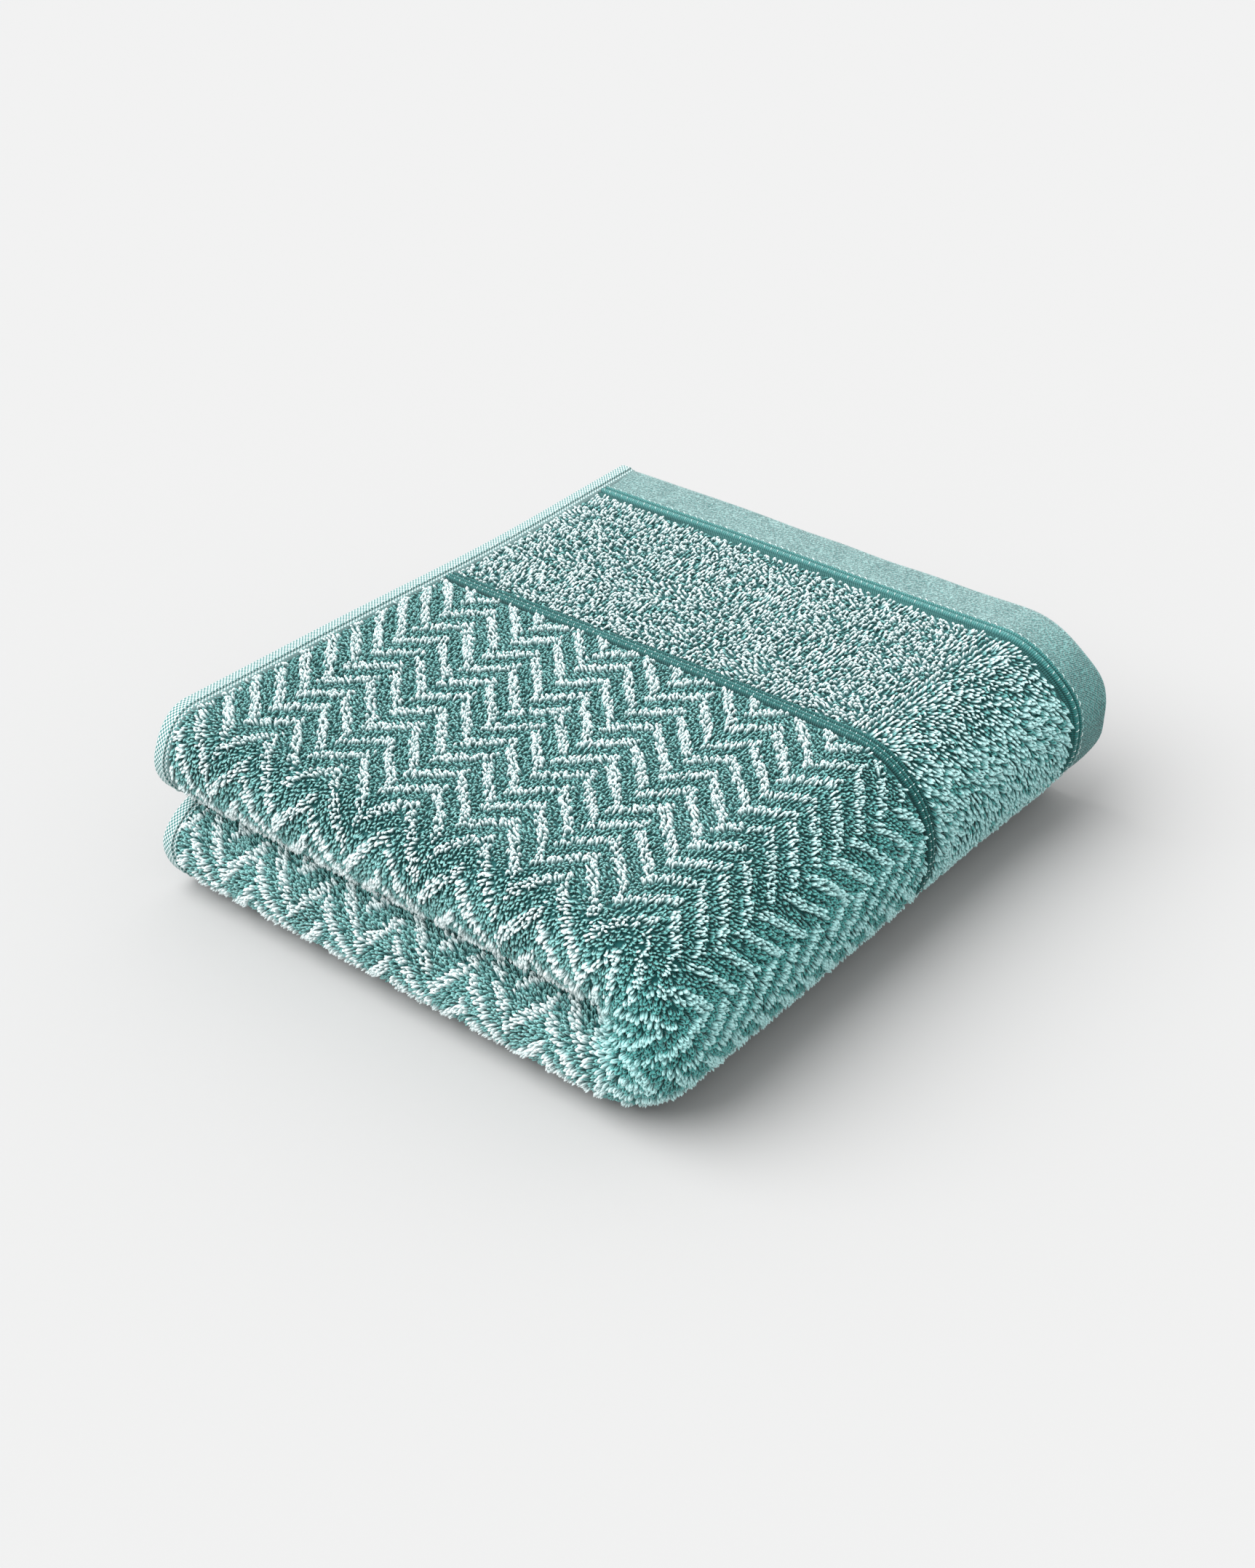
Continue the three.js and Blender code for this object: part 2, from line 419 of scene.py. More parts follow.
class Finish:
    """A material made of nodes."""

    def __init__(self, name, roughness, sheen):
        self.material = bpy.data.materials.new(name)
        self.material.use_nodes = True
        self.tree = self.material.node_tree
        self.tree.nodes.clear()
        out = self.tree.nodes.new("ShaderNodeOutputMaterial")
        self.shader = self.tree.nodes.new("ShaderNodeBsdfPrincipled")
        self.shader.inputs["Roughness"].default_value = roughness
        self.shader.inputs["Specular IOR Level"].default_value = 0.2
        self.shader.inputs["Sheen Weight"].default_value = sheen
        self.shader.inputs["Sheen Roughness"].default_value = 0.5
        self.tree.links.new(self.shader.outputs[0], out.inputs[0])

    def node(self, kind, settings=None, inputs=None):
        """Adds a node: its settings first, then each socket's link or value."""
        made = self.tree.nodes.new(kind)
        for key, value in (settings or {}).items():
            setattr(made, key, value)
        for key, value in (inputs or {}).items():
            self.put(made.inputs[key], value)
        return {socket.name: Number(self, socket) for socket in made.outputs if socket.enabled}

    def put(self, socket, value):
        """Links a number or a colour made by nodes to a socket, or sets the socket's own value."""
        if isinstance(value, Number):
            self.tree.links.new(value.socket, socket)
        else:
            socket.default_value = value

    def mix(self, share, low, high, blend="MIX"):
        """The colour low where share is 0. Where it is 1, high, or low times high if they multiply."""
        made = self.tree.nodes.new("ShaderNodeMix")
        made.data_type = "RGBA"
        made.blend_type = blend
        self.put(made.inputs[0], share)
        self.put(made.inputs[6], low)
        self.put(made.inputs[7], high)
        return Number(self, made.outputs[2])

    def number(self, name):
        """A number that the mesh holds at its points."""
        return self.node("ShaderNodeAttribute", {"attribute_name": name})["Fac"]

    def place(self):
        """The point on the cloth, across and along it, in millimetres."""
        uv = self.node("ShaderNodeUVMap", {"uv_map": "cloth"})["UV"]
        split = self.node("ShaderNodeSeparateXYZ", None, {"Vector": uv})
        return split["X"] * 1000, split["Y"] * 1000

    def noise(self, scale, detail=2.0):
        """Noise over the object's own space, from 0 to 1. scale is its waves in a metre."""
        where = self.node("ShaderNodeTexCoord")["Object"]
        settings = {"Vector": where, "Scale": scale, "Detail": detail}
        return self.node("ShaderNodeTexNoise", None, settings)["Fac"]

    def colour(self, value):
        """The colour, multiplied by a painted shade tint where the cloth turns round the spine, on the
        side that faces away from the sun.
        """
        spine_shaded = self.mix(self.number("turned"), value, SPINE_SHADE_TINT, "MULTIPLY")
        self.put(self.shader.inputs["Base Color"], spine_shaded)

    def relief(self, height, depth):
        """Bump from a height of 0 to 1 that stands for depth metres."""
        settings = {"Height": height, "Distance": depth, "Strength": 1.0}
        normal = self.node("ShaderNodeBump", None, settings)["Normal"]
        self.put(self.shader.inputs["Normal"], normal)


def shade(red, green, blue):
    """A colour seen as red, green and blue of 255, as the light that a surface gives back."""
    levels = np.array([red, green, blue]) / 255
    linear = np.where(levels <= 0.04045, levels / 12.92, ((levels + 0.055) / 1.055) ** 2.4)
    return (*linear.tolist(), 1.0)


SPINE_SHADE_TINT = shade(168, 228, 226)  # a painted shade tint that colours are multiplied by on the spine's side away from the sun
TEAL = shade(142, 196, 193)
TEAL_DEEP = shade(88, 152, 150)
# painted shade deep in the pile, where the loops shade each other
TEAL_ROOT_SHADE = shade(26, 90, 90)
WHITE = shade(230, 242, 242)
WHITE_SHADE = shade(206, 222, 222)
# painted shade deep in the pile, where the loops shade each other
WHITE_ROOT_SHADE = shade(110, 162, 162)
# painted shade: the ground cloth's teal made dark for the gaps between the loops
SHADED_GROUND_DARK, SHADED_GROUND_LIGHT = shade(16, 72, 72), shade(44, 104, 104)
# the last of these is a painted highlight along the end hem's rounded edge
TWILL_DARK, TWILL_LIGHT, EDGE_HIGHLIGHT = shade(48, 98, 98), shade(138, 174, 172), shade(206, 216, 216)
CHECK_TEAL, CHECK_WHITE = shade(52, 114, 112), shade(190, 208, 208)
SEAM_RIB, SEAM_DARK = shade(90, 150, 148), shade(36, 92, 90)
LADDER_RIB, LADDER_DARK = shade(62, 122, 120), shade(26, 78, 76)
# painted shade in the woven lines' grooves
GROOVE_SHADE = shade(10, 54, 56)
THREAD_DARK, THREAD_LIGHT = shade(128, 174, 172), shade(216, 232, 230)
TURN = 2 * math.pi


# How often each weave repeats, in millimetres on the cloth.
WARP_REPEAT, WEFT_REPEAT = 0.75, 0.6
TWILL_REPEAT, CHECK_REPEAT, RIB_REPEAT = 1.15, 1.5, 0.9


def pile_finish():
    """Cotton yarn: its dye, a little lighter or darker from loop to loop, with painted shade towards
    the root, where the loops shade each other.
    """
    f = Finish("pile_yarn", 0.9, 0.3)
    vary = (f.number("tone") * 0.75 + f.noise(1500) * 0.35).step(0, 1)
    clear_of_root_shade = f.number("height").step(0.2, 0.95)
    teal = f.mix(clear_of_root_shade, TEAL_ROOT_SHADE, f.mix(vary, TEAL_DEEP, TEAL))
    white = f.mix(clear_of_root_shade, WHITE_ROOT_SHADE, f.mix(vary, WHITE_SHADE, WHITE))
    f.colour(f.mix(f.number("yarn"), teal, white))
    f.relief(f.noise(3200, 3.0), 0.1 * MM)
    return f.material


def ground_finish():
    """The ground cloth between the loops: a close plain weave, its teal darkened as painted shade for
    the deep gaps between the loops.
    """
    f = Finish("ground_cloth", 0.95, 0.1)
    across, along = f.place()
    warp = (across * (TURN / WARP_REPEAT)).sine()
    weave = warp * (along * (TURN / WEFT_REPEAT)).sine() * 0.5 + 0.5
    f.colour(f.mix(weave * 0.5 + f.noise(600) * 0.5, SHADED_GROUND_DARK, SHADED_GROUND_LIGHT))
    f.relief(weave, 0.15 * MM)
    return f.material


def twill_finish():
    """The end hem: a fine broken twill, pebbled, with a painted highlight along the rounded turned
    edge.
    """
    f = Finish("end_hem_twill", 0.9, 0.25)
    across, along = f.place()
    ribs = ((across + along * 0.9) * (TURN / TWILL_REPEAT)).sine() * 0.5 + 0.5
    pebbles = f.noise(1100, 1.0).step(0.3, 0.7)
    broken = (ribs * 0.4 + pebbles * 0.75).step(0.15, 0.95)
    cloudy = f.noise(90).step(0.3, 0.7) * 0.2
    base = f.mix(broken * 0.8 + cloudy, TWILL_DARK, TWILL_LIGHT)
    # a painted highlight on the turned edge, broken up by noise
    worn = f.number("worn") * (0.5 + f.noise(1200) * 0.8)
    f.colour(f.mix(worn.step(0.05, 1), base, EDGE_HIGHLIGHT))
    f.relief(broken, 0.8 * MM)
    return f.material


def check_finish():
    """The side hem: a fine check of white and teal threads."""
    f = Finish("side_hem_check", 0.9, 0.25)
    across, along = f.place()
    warp = (across * (TURN / CHECK_REPEAT)).sine()
    weft = (along * (TURN / CHECK_REPEAT)).sine()
    check = (warp * weft * (0.7 + f.noise(900) * 0.6)).step(-0.4, 0.3)
    f.colour(f.mix(check, CHECK_TEAL, CHECK_WHITE))
    f.relief(check, 0.35 * MM)
    return f.material


def rib_finish(name, light, dark):
    """A ribbed woven line: fine ribs across the towel, with painted shade where the cloth dips into
    its grooves.
    """
    f = Finish(name, 0.9, 0.15)
    across, _ = f.place()
    ribs = (across * (TURN / RIB_REPEAT)).sine() * 0.5 + 0.5
    bright = (ribs * 0.45 + f.noise(1000) * 0.6).step(0.1, 0.95)
    f.colour(f.mix(f.number("dip"), f.mix(bright, dark, light), GROOVE_SHADE))
    f.relief(ribs, 0.25 * MM)
    return f.material


def thread_finish():
    """Sewing thread and the white weft of the woven lines: pale, with a fine twist."""
    f = Finish("pale_thread", 0.75, 0.15)
    f.colour(f.mix(f.number("tone"), THREAD_DARK, THREAD_LIGHT))
    f.relief(f.noise(2600), 0.08 * MM)
    return f.material


PILE_FINISH = pile_finish()
GROUND_FINISH = ground_finish()
TWILL_FINISH = twill_finish()
CHECK_FINISH = check_finish()
SEAM_FINISH = rib_finish("stitched_rib", SEAM_RIB, SEAM_DARK)
LADDER_FINISH = rib_finish("woven_ladder", LADDER_RIB, LADDER_DARK)
THREAD_FINISH = thread_finish()

# ---------------------------------------------------------------- the woven pieces

# Where each woven piece begins and ends, in s, at both ends of the towel.
zone_s = {}
for zone in ("end_hem", "end_hem_seam", "mottled_band", "dobby_line"):
    low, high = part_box(f"upper_{zone}_outer_end")
    zone_s[zone, "outer_end"] = (BACK_Y - high[1], BACK_Y - low[1])
    low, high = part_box(f"upper_{zone}_inner_end")
    zone_s[zone, "inner_end"] = (LENGTH - INNER_END_Y + low[1], LENGTH - INNER_END_Y + high[1])
FIELD_S = (zone_s["dobby_line", "outer_end"][1], zone_s["dobby_line", "inner_end"][0])
SEAM_START = zone_s["end_hem_seam", "outer_end"][0]
DOBBY_START = zone_s["dobby_line", "outer_end"][0]

# The grooves of the woven lines: how far each lies from the line's start, and how wide it is.
SEAM_GROOVES = ((1.2 * MM, 1.8 * MM), (4.6 * MM, 2.6 * MM))
DOBBY_GROOVES = ((1.0 * MM, 2.2 * MM), (3.3 * MM, 1.2 * MM), (5.1 * MM, 1.4 * MM))

PART_ACROSS = {
    "upper": (FIELD_EDGE, STRAIGHT),
    "spine": (SPINE_A, SPINE_END_A),
    "lower": (SPINE_END_A, ACROSS - FIELD_EDGE),
}

sheets = []  # the sheets of cloth: the piece, its part, its stretch of s, and its zone and end
trims = {}  # what goes with each sheet, by part, zone and end
for part in PARTS:
    trims[part, "chevron_field", ""] = []
    for end in ENDS:
        trims[part, "mottled_band", end] = []


def turned(s, a):
    """0 on the flat halves and 1 where the spine stands upright: the sine of the turn about its
    axis. The cloth is drawn open there, so the loops lean and fill out more, and the finishes
    multiply colours there by a painted shade tint, as that side faces away from the sun."""
    return np.sin(np.clip((a - SPINE_A) / OUTER, 0, math.pi)) + 0 * s


def from_end(s):
    """The distance along the cloth from the nearest end of the towel."""
    return np.minimum(s, LENGTH - s)


def wander(a):
    """How far a sewn or woven line strays from straight."""
    return 0.3 * MM * drift(0 * a, a, 70 * MM, 61)


def dips(s, a, start, grooves):
    """1 in the middle of each groove, falling to 0 at its edges, as a raised cosine."""
    total = 0
    for centre, width in grooves:
        t = np.clip(np.abs(from_end(s) - start - centre - wander(a)) / (width / 2), 0, 1)
        total = total + 0.5 + 0.5 * np.cos(math.pi * t)
    return np.clip(total, 0, 1)


# How far the woven pieces' faces stand from the cloth's middle.
HEM_FACE, HEM_FULL, HEM_UNEVEN, HEM_BACK = 2.7 * MM, 0.8 * MM, 0.22 * MM, 2.0 * MM
SEAM_FACE, SEAM_DEPTH = 3.5 * MM, 2.0 * MM
DOBBY_FACE, DOBBY_DEPTH = 3.8 * MM, 2.1 * MM
LINE_BACK = 1.7 * MM
SIDE_HEM_FACE, SIDE_SEAM_FACE, SIDE_HEM_BACK = 4.2 * MM, 3.6 * MM, 0.9 * MM


def even(height):
    """A face of a sheet that stands at one height all over."""
    return lambda s, a: np.full(np.shape(s), height)


def hem_face(s, a):
    """The hem's turned plies: fullest 5 mm from the turned edge, thinner at the seam, and slightly
    uneven along it."""
    full = np.exp(-(((from_end(s) - 5 * MM) / (7 * MM)) ** 2))
    return HEM_FACE + HEM_FULL * full + HEM_UNEVEN * drift(s, a, 38 * MM, 5)


def hem_edge_highlight(s, a):
    """1 on the turned edge, gone 2 mm from it, and stronger in some stretches: where the painted
    highlight lies.
    """
    edge = np.exp(-((from_end(s) / (1.5 * MM)) ** 2))
    return edge * (0.8 + 0.35 * drift(s, a, 55 * MM, 6))


def seam_dip(s, a):
    """Where the end hem's seam dips into its grooves."""
    return dips(s, a, SEAM_START, SEAM_GROOVES)


def seam_face(s, a):
    """The seam's rib, less its grooves."""
    return SEAM_FACE - SEAM_DEPTH * seam_dip(s, a)


def dobby_dip(s, a):
    """Where the woven line dips into its grooves."""
    return dips(s, a, DOBBY_START, DOBBY_GROOVES)


def dobby_face(s, a):
    """The woven line, less its grooves."""
    return DOBBY_FACE - DOBBY_DEPTH * dobby_dip(s, a)


# Each woven zone: its step along the cloth, its right and wrong faces, its finish, its numbers at
# points, and whether its end at the towel's end is rounded.
GROUND_WEAVE = (5 * MM, even(GROUND), even(GROUND), GROUND_FINISH, {}, False)
WEAVES = {
    "chevron_field": GROUND_WEAVE,
    "mottled_band": GROUND_WEAVE,
    "end_hem": (1.0 * MM, hem_face, even(HEM_BACK), TWILL_FINISH, {"worn": hem_edge_highlight}, True),
    "end_hem_seam": (0.25 * MM, seam_face, even(LINE_BACK), SEAM_FINISH, {"dip": seam_dip}, False),
    "dobby_line": (0.22 * MM, dobby_face, even(LINE_BACK), LADDER_FINISH, {"dip": dobby_dip}, False),
}


def weave(part, zone, end, s_range):
    """One woven zone of one part, as a closed sheet over its stretch of s and the part's a."""
    step, right, wrong, finish, attributes, rounded = WEAVES[zone]
    node = "_".join(filter(None, [part, zone, end]))
    s = spread(*s_range, step, FOLDS)
    a_low, a_high = PART_ACROSS[part]
    a = np.linspace(a_low, a_high, 41)
    a = np.concatenate([a[:1], [a_low + WALL_ROW], a[1:-1], [a_high - WALL_ROW], a[-1:]])
    rounded_ends = (rounded and end == "outer_end", rounded and end == "inner_end", False, False)
    piece = closed_sheet(node + "_cloth", s, a, right, wrong, rounded_ends, finish, attributes)
    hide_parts(node)
    if (part, zone, end) in trims:
        sheets.append((piece, part, zone, end, s_range))
    else:
        trims[part, "chevron_field", ""].append(piece)
    hold(piece, part)


for part in PARTS:
    weave(part, "chevron_field", "", FIELD_S)
    for end in ENDS:
        for zone in ("end_hem", "end_hem_seam", "mottled_band", "dobby_line"):
            weave(part, zone, end, zone_s[zone, end])


# The side hems and their seams run the towel's whole length. All are rounded at its ends, and the
# hems along its edges too.
for part in ("upper", "lower"):
    for zone, start, stop, face, is_edge in (
        ("side_hem", 0, SIDE_HEM, SIDE_HEM_FACE, True),
        ("side_hem_seam", SIDE_HEM, FIELD_EDGE, SIDE_SEAM_FACE, False),
    ):
        s = spread(0, LENGTH, 4 * MM, FOLDS)
        a = spread(start, stop, 0.8 * MM)
        if part == "lower":
            a = ACROSS - a[::-1]
        rounded = (True, True, is_edge and part == "upper", is_edge and part == "lower")
        piece = closed_sheet(f"{part}_{zone}_cloth", s, a, even(face), even(SIDE_HEM_BACK), rounded,
                             CHECK_FINISH)
        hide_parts(f"{part}_{zone}")
        trims[part, "chevron_field", ""].append(piece)
        hold(piece, part)

# ---------------------------------------------------------------- stitches


THREAD = 0.17 * MM  # radius of the sewing thread
STITCH_ARCH, STITCH_SUNK = 0.5 * MM, 0.15 * MM  # a stitch's height, and how far its ends go in


def stitches(name, part, s, a, run_s, run_a, level, seed):
    """Stitches at places s and a, each a low arch of thread: its middle line is the place plus t
    times (run_s, run_a) for t from -1/2 to 1/2, and the arch's height times cos(pi t) above its
    sunk ends. A stitch thins towards its ends."""
    draw = np.random.default_rng(seed)
    count = len(s)
    t = np.linspace(-0.5, 0.5, 5)
    s = s[:, None] + t * run_s * (1 + 0.12 * draw.standard_normal(count))[:, None]
    a = a[:, None] + t * run_a + 0.12 * MM * draw.standard_normal((count, 1))
    height = level + STITCH_ARCH * np.cos(math.pi * t) - STITCH_SUNK
    path = cloth(s, a, height)
    _, _, out, _ = directions(s, a, height, 1)
    tangent = unit(np.gradient(path, axis=1))
    beside = unit(np.cross(out, tangent))
    outward = np.cross(tangent, beside)
    radius = THREAD * np.sqrt(np.maximum(1 - (1.7 * t) ** 2, 0.2)) * np.ones((count, 1))
    tone = draw.random((count, 1))
    piece = tubes(name, path, outward, beside, radius, 4, THREAD_FINISH, {"tone": tone}, True)
    trims[part, "chevron_field", ""].append(piece)
    hold(piece, part)


# The lines of stitches in the end hems' seams and the woven lines: the zone, how far from its
# start, how high, and how long each stitch is along and across the towel.
STITCH_LINES = (
    ("end_hem_seam", 0.0, 3.6 * MM, 0.9 * MM, 1.9 * MM),
    ("end_hem_seam", 3.0 * MM, 3.4 * MM, 1.5 * MM, 0.5 * MM),
    ("dobby_line", 2.2 * MM, 3.7 * MM, 0.8 * MM, 0.2 * MM),
    ("dobby_line", 4.2 * MM, 3.7 * MM, 1.0 * MM, 0.2 * MM),
)
for part in PARTS:
    a_low, a_high = PART_ACROSS[part]
    for end in ENDS:
        for number, (zone, offset, level, run_s, run_a) in enumerate(STITCH_LINES):
            place_a = np.arange(a_low + STITCH / 2, a_high, STITCH)
            place_s = zone_s[zone, "outer_end"][0] + offset + wander(place_a)
            if end == "inner_end":
                place_s = LENGTH - place_s
            stitches(f"{part}_{zone}_stitches_{number + 1}_{end}", part, place_s, place_a,
                     run_s, run_a, level, 300 + number)
for part in ("upper", "lower"):
    place_s = np.arange(STITCH, LENGTH - STITCH, STITCH)
    place_a = np.full(len(place_s), SIDE_HEM - 0.4 * MM)
    if part == "lower":
        place_a = ACROSS - place_a
    stitches(f"{part}_side_hem_stitches", part, place_s, place_a, 2.3 * MM, 0.3 * MM,
             4.1 * MM, 320)

# ---------------------------------------------------------------- the pile

# The chevron's strokes lie in columns along the towel. A column that starts at a valley climbs
# towards the outer end, and the next one, which starts at a peak, falls again.
CHEVRON_PERIOD = 33.7 * MM  # across the towel, from valley to valley
VALLEY_A = 28.8 * MM  # from the free edge to the first valley
PEAK_SHARE = 0.475  # of a period, from a valley to the next peak
STROKE_REPEAT = 12.6 * MM  # along the towel, from stroke to stroke
STROKE_WIDTH = 3.4 * MM
CLIMB, CLIMB_START = -0.85, 5.7 * MM  # the climbing strokes' slope, and where the first begins
FALL, FALL_START = 1.0, 8.5 * MM


def chevron_yarn(s, a, draw):
    """1 where the pattern lifts white yarn. In a column a stroke's middle line is at the start plus
    the slope times the distance from the column's edge, and it repeats at every stroke. White is
    within half a stroke's width of that line, give or take a little from loop to loop."""
    along = s + 0.8 * MM * drift(s, a, 60 * MM, 41)
    across = a + 0.8 * MM * drift(s, a, 60 * MM, 42)
    inside = np.mod(across - VALLEY_A, CHEVRON_PERIOD)
    peak = PEAK_SHARE * CHEVRON_PERIOD
    climbing = inside < peak
    slope = np.where(climbing, CLIMB, FALL)
    start = np.where(climbing, CLIMB_START, FALL_START)
    line = start + slope * np.where(climbing, inside, inside - peak)
    off_line = np.mod(along - line + STROKE_REPEAT / 2, STROKE_REPEAT) - STROKE_REPEAT / 2
    off_line = np.abs(off_line) / np.hypot(1, slope)
    return (off_line + 0.16 * MM * draw.standard_normal(np.shape(s)) < STROKE_WIDTH / 2).astype(float)


def mottled_yarn(s, a, draw):
    """White and teal in small clumps: a slow noise and a fast one, and white where they are high."""
    clump = drift(s, a * 1.4, 7.5 * MM, 21) + 0.9 * drift(s * 0.8, a, 5.0 * MM, 22)
    return (clump + 0.55 * draw.standard_normal(np.shape(s)) > -0.6).astype(float)


SHAKE_S, SHAKE_A = 0.16 * MM, 0.14 * MM
FOLD_DENSITY = 1.32  # how many loops are sown on the front fold for each one on a flat stretch
FOOT = GROUND - 0.15 * MM  # where a loop's feet end, inside the ground cloth
LOOP_WIDTH = 0.72 * MM
SIDES_FULL, CROWN_FULL = 0.55, 0.6  # the powers that fill out a loop's sides and its crown
FREE_TAPER = 4 * MM  # how far from the side hem's seam the loops reach their full height


def feet(draw, s_range, a_range, side, spacing):
    """Where loops stand: in rows and columns, every other column half a row further on, all a
    little shaken. Each then stays with a chance in step with the stretch of the surface at nine
    tenths of the pile's height, so that fewer stand where a bend draws the surface together."""
    densest = FOLD_DENSITY if s_range == (FRONT_S, LAYER_4_S) else 1.0
    row, column = ROW * spacing / densest, COLUMN * spacing
    s, a = np.meshgrid(np.arange(s_range[0] + row / 2, s_range[1], row),
                       np.arange(a_range[0] + column / 2, a_range[1], column), indexing="ij")
    s = s + (np.arange(s.shape[1]) % 2) * row / 2
    s = (s + draw.normal(0, SHAKE_S, s.shape)).ravel()
    a = (a + draw.normal(0, SHAKE_A, a.shape)).ravel()
    keep = (s > s_range[0]) & (s < s_range[1]) & (a > a_range[0]) & (a < a_range[1])
    s, a = s[keep], a[keep]
    _, _, _, stretch = directions(s, a, side * (GROUND + 0.9 * PILE), side)
    keep = draw.random(len(s)) < stretch / densest
    return s[keep], a[keep]


def held_lean(part, a, lean_a):
    """The lean across the towel, held so that no loop of a half leans past the half's edge at the
    spine, and that the spine's first loops lean over their own half's edge only bit by bit."""
    if part == "upper":
        return np.minimum(lean_a, SPINE_A - a - YARN)
    if part == "spine":
        return np.minimum(lean_a, 0.35 * (a - SPINE_A))
    return np.maximum(lean_a, SPINE_END_A - a + YARN)


def pile(name, part, zone, end, s_range, a_range, side, spacing, rings, seed):
    """Terry loops over a stretch of the cloth, on its right side (1) or wrong side (-1). A loop is
    a narrow arch with full shoulders: foot - P C + R S, for q from 0 to pi, where C is cos q with
    its size to the power 0.55, S is sin q to the power 0.6, R rises out from the cloth and leans,
    and P is half the loop's width, about square to the lean. A loop's crown takes the colour that
    the pattern has there. White loops are taller and thicker, and all loops are fuller where the
    cloth is bent."""
    draw = np.random.default_rng(seed)
    s, a = feet(draw, s_range, a_range, side, spacing)
    count = len(s)
    level = side * FOOT
    along, across, out, _ = directions(s, a, level, side)

    open_up = turned(s, a)
    bent = np.sin(math.pi * np.clip((s - FRONT_S) / (LAYER_4_S - FRONT_S), 0, 1))
    fall = 0.8 + 0.7 * open_up + 0.7 * drift(s, a, 45 * MM, 33) + 0.45 * draw.standard_normal(count)
    turn = fall + QUARTER + 0.4 * draw.standard_normal(count)
    usual = 0.45 + 0.15 * bent if zone == "chevron_field" else 0.72 + 0.25 * open_up
    lean_by = PILE * (usual + 0.13 * draw.standard_normal(count))
    lean_s = lean_by * np.cos(fall)
    lean_a = held_lean(part, a, lean_by * np.sin(fall))
    yarn_of = chevron_yarn if zone == "chevron_field" else mottled_yarn
    white = yarn_of(s + lean_s, a + lean_a, draw)
    raised = white if zone == "chevron_field" else 0.5 * white
    tall = PILE * (0.74 - 0.08 * open_up + 0.08 * draw.standard_normal(count) + 0.40 * raised)
    tall = tall * (0.7 + 0.3 * smooth((np.minimum(a, ACROSS - a) - FIELD_EDGE) / FREE_TAPER))
    fuller = 1 + 0.15 * np.maximum(bent, open_up)
    wide = LOOP_WIDTH * fuller * spacing**0.7 * (1 + 0.15 * draw.standard_normal(count))
    thick = YARN * fuller * spacing**0.6 * (1 + 0.08 * draw.standard_normal(count) + 0.25 * raised)

    q = np.linspace(0, 1, rings) * math.pi
    aside = (np.sign(np.cos(q)) * np.abs(np.cos(q)) ** SIDES_FULL)[None, :, None]
    above = (np.maximum(np.sin(q), 0) ** CROWN_FULL)[None, :, None]
    plane = along * np.cos(turn)[:, None] + across * np.sin(turn)[:, None]
    plane = (plane * (wide / 2)[:, None])[:, None]
    lean = along * lean_s[:, None] + across * lean_a[:, None]
    rise = (out * tall[:, None] + lean)[:, None]
    path = cloth(s, a, level)[:, None] - plane * aside + rise * above
    tangent = unit(np.gradient(path, axis=1))
    beside = np.broadcast_to(unit(np.cross(rise, plane)), tangent.shape)
    outward = np.cross(tangent, beside)
    # height, 0 at a loop's feet and 1 at its crown, sets the painted shade towards the roots.
    numbers = {"yarn": white[:, None], "tone": draw.random((count, 1)), "height": above[..., 0],
               # turned sets the painted shade tint on the spine's side away from the sun, weaker on
               # white loops.
               "turned": (open_up * (1 - 0.2 * white))[:, None]}
    radius = thick[:, None] * np.ones(rings)
    piece = tubes(name, path, outward, beside, radius, 3, PILE_FINISH, numbers)
    trims[part, zone, end].append(piece)
    hold(piece, part)


CLEAR = 0.8 * MM  # from a woven line to the first loops beside it
BAND_S = zone_s["mottled_band", "outer_end"]
# How far apart loops stand, as a share of the pile's own spacing, and how many rings make each.
FINE, BULKY, COARSE = (1.0, 5), (1.30, 5), (1.42, 4)


def halves(low, high):
    """The stretch from low to high, cut in two equal ones, with their numbers."""
    middle = (low + high) / 2
    return ((1, (low, middle)), (2, (middle, high)))


piles = []  # what pile takes, apart from its seed
for part in PARTS:
    across = PART_ACROSS[part]
    field = (part, "chevron_field", "")
    band = (part, "mottled_band", "outer_end")
    field_kind, band_kind = (COARSE, COARSE) if part == "lower" else (FINE, BULKY)
    for number, stretch in halves(FIELD_S[0] + CLEAR, FRONT_S):
        piles.append((f"{part}_field_loops_{number}", *field, stretch, across, 1, *field_kind))
    for number, stretch in halves(BAND_S[0] + CLEAR, BAND_S[1] - CLEAR):
        piles.append((f"{part}_band_loops_{number}", *band, stretch, across, 1, *band_kind))
    piles.append((f"{part}_front_fold_loops", *field, (FRONT_S, LAYER_4_S), across, 1, *FINE))
    for number, stretch in halves(LAYER_4_S, MIDDLE_S):
        piles.append((f"{part}_inside_loops_{number}", *field, stretch, across, 1, *COARSE))
    piles.append((f"{part}_middle_fold_loops", *field, (MIDDLE_S, LAYER_3_S), across, 1, *COARSE))

# Between the layers of one half, loops show only beside the free edge.
EDGE_STRIP = 8 * MM
for part, strip in (
    ("upper", (FIELD_EDGE, FIELD_EDGE + EDGE_STRIP)),
    ("lower", (ACROSS - FIELD_EDGE - EDGE_STRIP, ACROSS - FIELD_EDGE)),
):
    field = (part, "chevron_field", "")
    between = (LAYER_3_S, FIELD_S[1])
    piles.append((f"{part}_edge_loops_right", *field, between, strip, 1, *COARSE))
    piles.append((f"{part}_edge_loops_wrong", *field, FIELD_S, strip, -1, *COARSE))

for seed, given in enumerate(piles, 100):
    pile(*given, seed)

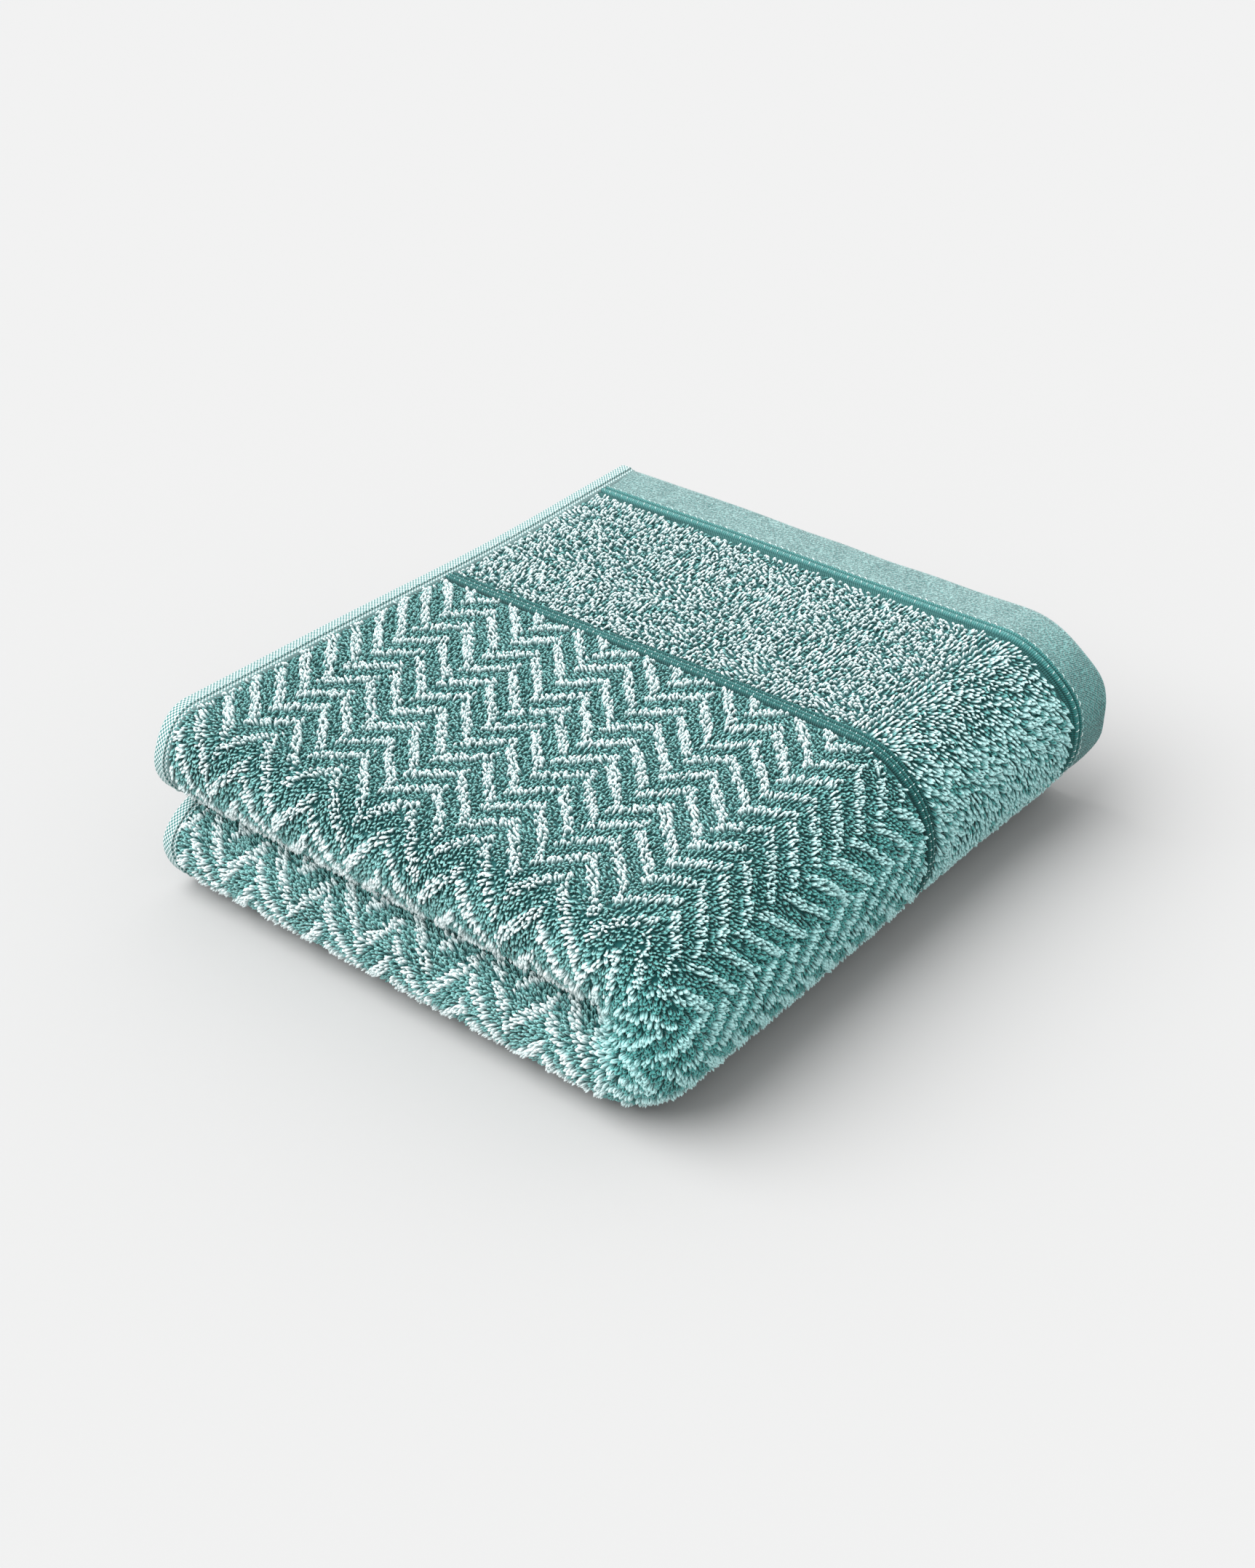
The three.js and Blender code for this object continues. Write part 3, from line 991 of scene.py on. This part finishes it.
# Each stretch of cloth was cut as wide as its part and as long as its stretch of s. The spine's
# layers are half turns about the axis, and their mean radius is two layers.
for piece, part, zone, end, s_range in sheets:
    width = STRAIGHT - FIELD_EDGE
    if part == "spine":
        radius = {"": 2 * PITCH, "outer_end": RHO_1, "inner_end": RHO_2}[end]
        width = math.pi * radius
    flat = (round(float(width), 4), round(float(s_range[1] - s_range[0]), 4))

# ---------------------------------------------------------------- floor, light and camera

SKY = 1.15  # the light that comes evenly from all round
SUN = 1.18  # the light that a soft sun adds to a level surface
PALE = 0.887  # how bright the lit floor looks
FLOOR = PALE / (SKY + SUN)
SUN_FROM = Vector((-0.38, -0.42, 0.82)).normalized()
SUN_WIDTH = math.radians(64)  # a broad sun, for soft shadows


def studio():
    """A pale floor under an even pale sky, and a broad soft sun from the front left."""
    mesh = bpy.data.meshes.new("floor")
    reach = 8.0
    corners = [(-reach, -reach, 0), (reach, -reach, 0), (reach, reach, 0), (-reach, reach, 0)]
    mesh.from_pydata(corners, [], [(0, 1, 2, 3)])
    floor = bpy.data.objects.new("floor", mesh)
    bpy.context.scene.collection.objects.link(floor)
    plain = bpy.data.materials.new("floor")
    plain.use_nodes = True
    shader = plain.node_tree.nodes["Principled BSDF"]
    shader.inputs["Base Color"].default_value = (FLOOR, FLOOR, FLOOR, 1)
    shader.inputs["Roughness"].default_value = 1.0
    shader.inputs["Specular IOR Level"].default_value = 0.0
    mesh.materials.append(plain)
    floor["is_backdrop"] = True

    world = bpy.data.worlds.new("studio")
    world.use_nodes = True
    world.node_tree.nodes["Background"].inputs["Color"].default_value = (1.0, 1.0, 1.0, 1)
    world.node_tree.nodes["Background"].inputs["Strength"].default_value = SKY
    bpy.context.scene.world = world

    light = bpy.data.lights.new("key", "SUN")
    light.angle = SUN_WIDTH
    light.energy = math.pi * SUN / SUN_FROM.z
    lamp = bpy.data.objects.new("key", light)
    lamp.rotation_euler = SUN_FROM.to_track_quat("Z", "Y").to_euler()
    bpy.context.scene.collection.objects.link(lamp)


def camera():
    """Looks down at the front fold and the spine from 0.82 m."""
    azimuth, elevation, distance = math.radians(38.72), math.radians(32.56), 0.820
    middle = Vector((0, 0, AXIS_Z))
    level = math.cos(elevation)
    look = Vector((-math.sin(azimuth) * level, math.cos(azimuth) * level, -math.sin(elevation)))
    lens = bpy.data.cameras.new("camera")
    lens.sensor_width = 36
    lens.lens = 50.66
    lens.shift_x = -0.0099
    lens.shift_y = -0.0143
    lens.clip_start = 0.01
    eye = bpy.data.objects.new("camera", lens)
    eye.location = middle - look * distance
    eye.rotation_euler = look.to_track_quat("-Z", "Y").to_euler()
    bpy.context.scene.collection.objects.link(eye)
    bpy.context.scene.camera = eye


studio()
camera()
bpy.context.scene.view_settings.view_transform = "Standard"

low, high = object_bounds()
